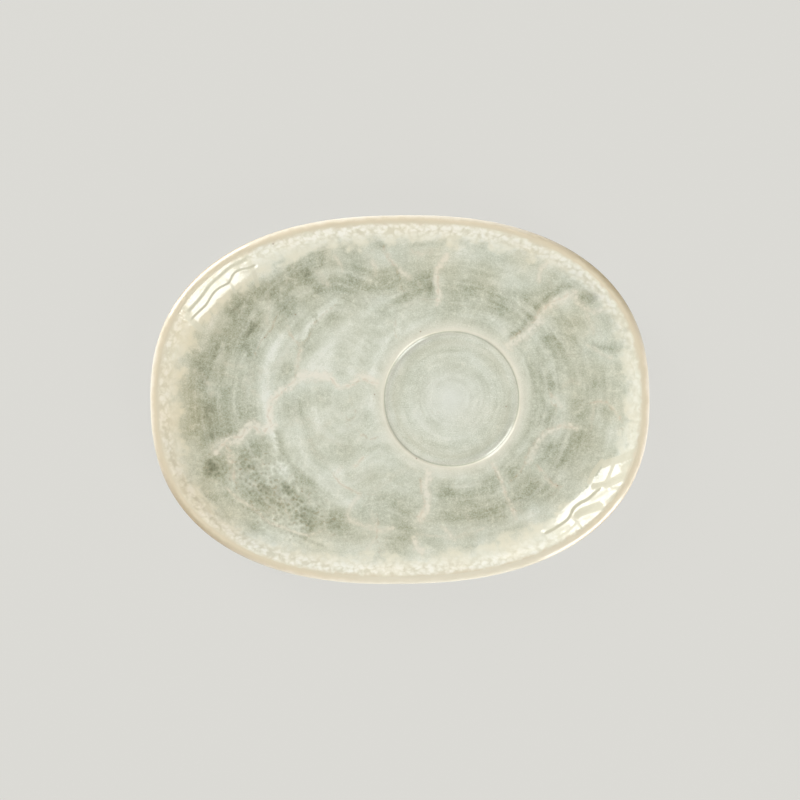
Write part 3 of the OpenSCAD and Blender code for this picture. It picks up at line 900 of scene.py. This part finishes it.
def celadon():
    """Reactive celadon stoneware glaze, poured and fired: cloudy green pools, cream veins, fine grain."""
    material, add = new_material("reactive_celadon_glaze")
    place_at = add("TexCoord").outputs["Object"]
    mark = {name: add("Attribute", attribute_name=name).outputs["Fac"] for name in FACE_MARKS}
    rim = add("Attribute", attribute_name="rim").outputs["Vector"]
    inset = add("SeparateXYZ", (rim,)).outputs["Z"]
    mottle, puffs = (
        add("TexNoise", {"Vector": place_at, "Scale": per_metre(size), "Detail": 2, "Distortion": bend})
        for size, bend in ((4, 0.6), (1.8, 0.3))
    )
    slow = add("VectorMath", (place_at, per_metre(22)), operation="SCALE")
    slow_x, slow_y, _ = add("SeparateXYZ", (slow,)).outputs
    turned = []
    for width in (1.1, 3.2):
        across = add("Math", (mark["arc"], 1 / width), operation="MULTIPLY")
        way = add("CombineXYZ", (across, slow_x, slow_y))
        turned.append(add("TexNoise", (way, 1, 2)))
    depth, cells = glaze_depth(add, place_at, mark, mottle, turned)
    shade = add("MapRange", (depth, -0.2, 1.25))
    colour = add(
        "ValToRGB", (shade,),
        stops=(
            (0.0, "#e6e8dd"), (0.110, "#d8dbcc"), (0.257, "#c8cbb9"), (0.405, "#b9bca8"),
            (0.552, "#aaad98"), (0.698, "#9b9e88"), (0.828, "#8d917b"), (1.0, "#7b7f69"),
        ),
    )
    # Milky strokes left by the turning
    milk = both(add, (turned[1], 0.52, 0.75, 0, 0.45), (inset, 14, 28))
    # Veins: puffy and ragged, tan where they thin out
    puff = add("MapRange", (puffs, 0.3, 0.7, 0.55, 1.45))
    ragged = add("Math", (mark["vein"], puff), operation="MULTIPLY")
    vein = add("MapRange", (ragged, 0.05, 0.95, 0, 0.85), interpolation_type="SMOOTHSTEP")
    vein_hue = add("ValToRGB", (vein,), stops=((0.15, "#d9d2be"), (0.65, "#e7e3d4")))
    # Rust lines: thin, broken, and beside the veins
    stray = add("MapRange", (mottle, 0.3, 0.7, -0.7, 0.7))
    rust_place = add("Math", (mark["rust"], stray), operation="ADD")
    rust_apart = add("Math", (rust_place,), operation="ABSOLUTE")
    rust = both(add, (rust_apart, 0.1, 0.8, 0.28, 0), (puffs, 0.4, 0.6))
    # Brown flecks in the foam
    flecks = add("TexNoise", (place_at, per_metre(1.4), 1))
    fleck = both(add, (flecks, 0.6, 0.75, 0, 0.35), (mark["foam"], 0.1, 0.7))
    # Cream haze near the lip
    cloud = add("Math", (mottle, 1.4, -0.7), operation="MULTIPLY_ADD")
    cream_place = add("Math", (mark["cream"], cloud), operation="ADD")
    cream = add("MapRange", (cream_place, 0, 1.1, 0, 0.95), interpolation_type="SMOOTHSTEP")
    # White crumbs in the haze, drawn out along the lip
    rim_way = add("VectorMath", (rim, (1 / 2.5, 1 / 2.5, 1 / 1.8)), operation="MULTIPLY")
    shove = add("TexNoise", (rim_way, 0.8, 2)).outputs["Color"]
    shoved = add("VectorMath", (shove, (1.6, 1.6, 1.6), rim_way), operation="MULTIPLY_ADD")
    crumbs = add("TexVoronoi", {"Vector": shoved, "Scale": 1, "Smoothness": 0.35}, feature="SMOOTH_F1")
    dust = add("TexNoise", {"Vector": rim_way, "Scale": 0.65, "Detail": 2, "Distortion": 0.8})
    crumble = add("Math", (dust, -1.1, 0.55), operation="MULTIPLY_ADD")
    crumbled = add("Math", (crumbs, crumble), operation="ADD")
    crumb_hue = add(
        "ValToRGB", (crumbled,),
        stops=((0.25, "#f7f5eb"), (0.42, "#f0eddf"), (0.58, "#e8e5d4"), (0.80, "#dad5c0")),
    )
    border = add("MapRange", (inset, 0, 20))
    crumb_place = add("ValToRGB", (border,), stops=((0.17, 0), (0.22, 1), (0.34, 1), (0.44, 0.45), (0.62, 0)))
    crumb = add("Math", (mark["crumb"], crumb_place), operation="MULTIPLY")
    for share, hue in (
        (milk, "#d9dbce"), (vein, vein_hue), (rust, "#b59a72"), (fleck, "#93805c"),
        (cream, "#e7e5d2"), (crumb, crumb_hue),
    ):
        colour = add("Mix", (share, colour, hue), data_type="RGBA")
    # Warmer patches, most of them towards the lip
    colour = add("Mix", (mark["warm"], colour, "#fff7ec"), data_type="RGBA", blend_type="MULTIPLY")
    # Painted shade, olive and dull, on the terraces and matt strokes that break up the highlights; tan where
    # the glaze thins out over the lip
    terrace = add("MapRange", (mark["terrace"], 0.06, 0.16, 0, 0.7), interpolation_type="SMOOTHSTEP")
    matt = add("MapRange", (mark["matt"], 0.3, 0.6, 0, 0.75), interpolation_type="SMOOTHSTEP")
    end_place = add("Math", (inset, stray), operation="ADD")
    end = add("MapRange", (end_place, 3.3, 4.6, 1, 0))
    coats = [(terrace, "#c9c3a6"), (matt, "#cdc9b1"), (end, "#dbd1b8")]
    # Well: a white middle, a tan ring at the foot of its side, a pale side, a dark line and a cream edge; the
    # tan ring is pooled glaze deepened with painted shade, the pale side is painted light and the dark line
    # is painted shade
    ring_place = add("MapRange", (mark["ring"], 0, 40))
    for hue, stops in (
        ("#e2e4da", ((0.0, 0.75), (0.1, 0.62), (0.15, 0.45), (0.22, 0.34), (0.36, 0.16), (0.5, 0))),
        ("#c3bfa6", ((0.52, 0), (0.6, 0.15), (0.65, 0.25), (0.69, 0))),
        ("#e4e2d4", ((0.68, 0), (0.71, 0.3), (0.735, 0.35), (0.742, 0))),
        ("#a3a18c", ((0.740, 0), (0.745, 0.5), (0.752, 0.5), (0.757, 0))),
        ("#e9e4d2", (
            (0.748, 0), (0.758, 0.7), (0.778, 0.75), (0.795, 0.55), (0.82, 0.38), (0.87, 0.16), (0.93, 0),
        )),
    ):
        coats.append((add("ValToRGB", (ring_place,), stops=stops), hue))
    # Iron specks
    flat_place = add("VectorMath", (place_at, (1, 1, 0)), operation="MULTIPLY")
    for speck in SPECKS:
        x, y = from_photo(*speck)
        apart = add("VectorMath", (flat_place, (x * MM, y * MM, 0)), operation="DISTANCE")
        coats.append((add("MapRange", (apart, 0.2 * MM, 0.5 * MM, 0.5, 0)), "#8a6a42"))
    for share, hue in coats:
        colour = add("Mix", (share, colour, hue), data_type="RGBA")
    # The glaze is glassy where it has run on the rise and the well's side, and silky where it lies level.
    # What the gloss doesn't throw back would make the colour paler there, so it is darkened by as much.
    rough = add("MapRange", (mark["matt"], 0.35, 0.55, 0.05, 0.55))
    shine = add("MapRange", (mark["shine"], 0, 1, 0.08, 0.5))
    under_shine = add("MapRange", (mark["shine"], 0, 1, 0.95, 1))
    colour = add("VectorMath", (colour, under_shine), operation="SCALE")
    skin = add("Bump", {"Height": cells, "Strength": 0.5, "Distance": 0.04 * MM})
    shader = add(
        "BsdfPrincipled",
        {"Base Color": colour, "Roughness": rough, "IOR": 1.65, "Specular IOR Level": shine, "Normal": skin},
    )
    add("OutputMaterial", (shader,))
    return material


def tan_glaze():
    """Thin tan glaze on the lip, wiped and fired glossy: it breaks paler over the outer edge, and that paler
    edge also holds painted light.
    """
    material, add = new_material("tan_lip_glaze")
    place_at = add("TexCoord").outputs["Object"]
    inset, corner, lit = (
        add("Attribute", attribute_name=name).outputs["Fac"] for name in ("inset", "corner", "lit")
    )
    cloud = add("TexNoise", (place_at, per_metre(5), 3))
    across = add("MapRange", (inset, 0, 4))
    band = add("Math", (cloud, 0.6, -0.3), operation="MULTIPLY_ADD")
    shade = add("Math", (across, band), operation="ADD")
    # Palest at the outer edge: partly thin glaze, partly painted light where the edge catches the light
    colour = add(
        "ValToRGB", (shade,),
        stops=(
            (0.0, "#f4ecdb"), (0.22, "#efe5d0"), (0.36, "#e6dac1"),
            (0.55, "#ddd1b6"), (0.8, "#dbd1b7"), (1.0, "#ded5be"),
        ),
    )
    # Painted shade: darker at the two corners that face away from the lamps, and a thin darker edge at the
    # two lit corners that face them
    painted_shade_hue = add("ValToRGB", (shade,), stops=((0.1, "#c6b596"), (0.35, "#c9bb9d"), (0.65, "#ddd1b6")))
    edge = add("MapRange", (inset, 0.25, 0.7, 0.85, 0))
    painted_edge_shade = add("Math", (lit, edge), operation="MULTIPLY")
    # Greyer along the middle of one side
    x, y, _ = add("SeparateXYZ", (place_at,)).outputs
    grey = both(add, (y, -55 * MM, -75 * MM, 0, 0.6), (x, -40 * MM, -10 * MM))
    for share, hue in ((corner, painted_shade_hue), (painted_edge_shade, "#bfa681"), (grey, "#e0dbc8")):
        colour = add("Mix", (share, colour, hue), data_type="RGBA")
    shader = add("BsdfPrincipled", {"Base Color": colour, "Roughness": 0.08, "IOR": 1.65})
    add("OutputMaterial", (shader,))
    return material


def under_celadon():
    """Thin even celadon on the underside, dipped: pale, slightly clouded."""
    material, add = new_material("thin_celadon_glaze")
    place_at = add("TexCoord").outputs["Object"]
    cloud = add("TexNoise", (place_at, per_metre(12), 4))
    colour = add("ValToRGB", (cloud,), stops=((0.3, "#c3c7b3"), (0.5, "#cfd2c1"), (0.7, "#d8dacb")))
    # Darker in the rolled end beside the foot
    end = add("Attribute", attribute_name="end").outputs["Fac"]
    end_share = add("Math", (end, 0.5), operation="MULTIPLY")
    colour = add("Mix", (end_share, colour, "#a9ab8f"), data_type="RGBA")
    shader = add("BsdfPrincipled", {"Base Color": colour, "Roughness": 0.12, "IOR": 1.5})
    add("OutputMaterial", (shader,))
    return material


def stoneware():
    """Unglazed buff stoneware, wiped at the foot: matt and gritty."""
    material, add = new_material("bare_stoneware")
    place_at = add("TexCoord").outputs["Object"]
    grit = add("TexNoise", (place_at, per_metre(0.8), 3))
    colour = add("ValToRGB", (grit,), stops=((0.3, "#b39a74"), (0.45, "#d0bd9a"), (0.7, "#decdae")))
    # Toasted by the fire where the clay meets the glaze
    height = add("SeparateXYZ", (place_at,)).outputs["Z"]
    toast = add("MapRange", (height, 0.6 * MM, 2.4 * MM, 0, 0.5))
    colour = add("Mix", (toast, colour, "#b98d5f"), data_type="RGBA")
    bump = add("Bump", {"Height": grit, "Strength": 0.5, "Distance": 0.2 * MM})
    shader = add("BsdfPrincipled", {"Base Color": colour, "Roughness": 0.8, "Normal": bump})
    add("OutputMaterial", (shader,))
    return material


face_glaze(celadon())
rim_band(tan_glaze())
under_finish = under_celadon()
underside_glaze(under_finish)
base_glaze(under_finish)
clay_body(stoneware())

# Plain pale floor: the eye sees the backdrop's colour, and a little of the shadow. Lengths are in metres.
BACKDROP = "#dbdad5"
FLOOR_HALF = 4.0
SHADOW_SHARE = 0.05
# Light from all sides, and the brightness of the two lamps
FILL_LIGHT = 0.12
LAMP_LIGHT = 9.2
# Distance of the lamps, and the elevation of their lower and upper edges in degrees
LAMP_AWAY = 1.5
LAMP_ELEVATIONS = (2, 49)
# The gloss shows dimmer panels in front of the lamps, so that the glaze's pattern isn't lost in them
GLEAM_AWAY = 1.45
GLEAMS = (((2, 12), 6.2), ((12, 19.5), 2.2), ((19.5, 49), 6.2))
# Focal length and width of the picture in the camera
FOCAL_LENGTH, SENSOR_WIDTH = 85, 36


def backdrop_rays(add):
    """1 for rays that should see the plain backdrop: from the camera, and through gloss or glass."""
    rays = add("LightPath").outputs
    seen = add("Math", (rays["Is Camera Ray"], rays["Is Glossy Ray"]), operation="MAXIMUM")
    return add("Math", (seen, rays["Is Transmission Ray"]), operation="MAXIMUM")


def floor():
    material, add = new_material("matt_paper_floor")
    lit = add("BsdfDiffuse", (BACKDROP,))
    plain = add("Emission", (BACKDROP, 1))
    plain_share = add("Math", (backdrop_rays(add), 1 - SHADOW_SHARE), operation="MULTIPLY")
    surface = add("MixShader", (plain_share, lit, plain))
    add("OutputMaterial", (surface,))
    bm = bmesh.new()
    bmesh.ops.create_grid(bm, x_segments=1, y_segments=1, size=FLOOR_HALF)
    mesh = bpy.data.meshes.new("floor")
    bm.to_mesh(mesh)
    bm.free()
    mesh.materials.append(material)
    plane = bpy.data.objects.new("floor", mesh)
    bpy.context.scene.collection.objects.link(plane)


def world():
    backdrop = bpy.data.worlds.new("studio")
    backdrop.use_nodes = True
    backdrop.node_tree.nodes.clear()
    add = partial(add_node, backdrop.node_tree)
    fill = add("Background", ("#ffffff", FILL_LIGHT))
    plain = add("Background", (BACKDROP, 1))
    camera_ray = add("LightPath").outputs["Is Camera Ray"]
    surface = add("MixShader", (camera_ray, fill, plain))
    add("OutputWorld", (surface,))
    bpy.context.scene.world = backdrop


def panel(name, away, bearing, half_angle, elevations, brightness):
    """A soft panel that stands upright and faces the saucer. Its power follows from its brightness."""
    low, high = (away * tan(radians(elevation)) for elevation in elevations)
    lamp = bpy.data.lights.new(name, "AREA")
    lamp.shape, lamp.size, lamp.size_y = "RECTANGLE", 2 * away * tan(radians(half_angle)), high - low
    lamp.energy = pi * lamp.size * lamp.size_y * brightness
    stand = bpy.data.objects.new(name, lamp)
    way = Vector((cos(radians(bearing)), sin(radians(bearing)), 0))
    stand.location = way * away + Vector((0, 0, (low + high) / 2))
    stand.rotation_euler = way.to_track_quat("Z", "Y").to_euler()
    stand.visible_camera = False
    bpy.context.scene.collection.objects.link(stand)
    return stand


def softbox(name, bearing, half_angle):
    """A lamp at a bearing, this many degrees wide to each side, and the panels that the gloss shows."""
    lamp = panel(name, LAMP_AWAY, bearing, half_angle, LAMP_ELEVATIONS, LAMP_LIGHT)
    lamp.visible_glossy = False
    for index, (elevations, brightness) in enumerate(GLEAMS):
        gleam = panel(f"{name}_gleam_{index}", GLEAM_AWAY, bearing, half_angle, elevations, brightness)
        gleam.visible_diffuse = False


def camera():
    lens = bpy.data.cameras.new("camera")
    lens.lens, lens.sensor_width = FOCAL_LENGTH, SENSOR_WIDTH
    eye = bpy.data.objects.new("camera", lens)
    above_lip = IMAGE_SIZE * LIP_MM_PER_PIXEL * FOCAL_LENGTH / SENSOR_WIDTH
    right, down = (((IMAGE_SIZE - 1) / 2 - pixel) * LIP_MM_PER_PIXEL for pixel in MIDDLE_PIXEL)
    eye.location = Vector((right, -down, LIP_CENTRE[1] + above_lip)) * MM
    eye.rotation_euler = (0, 0, -radians(TURN_IN_PHOTO))
    bpy.context.scene.collection.objects.link(eye)
    bpy.context.scene.camera = eye


floor()
world()
softbox("softbox_lower_right", -49, 15.5)
softbox("softbox_upper_left", 135.5, 17.5)
camera()
bpy.context.scene.view_settings.view_transform = "Standard"
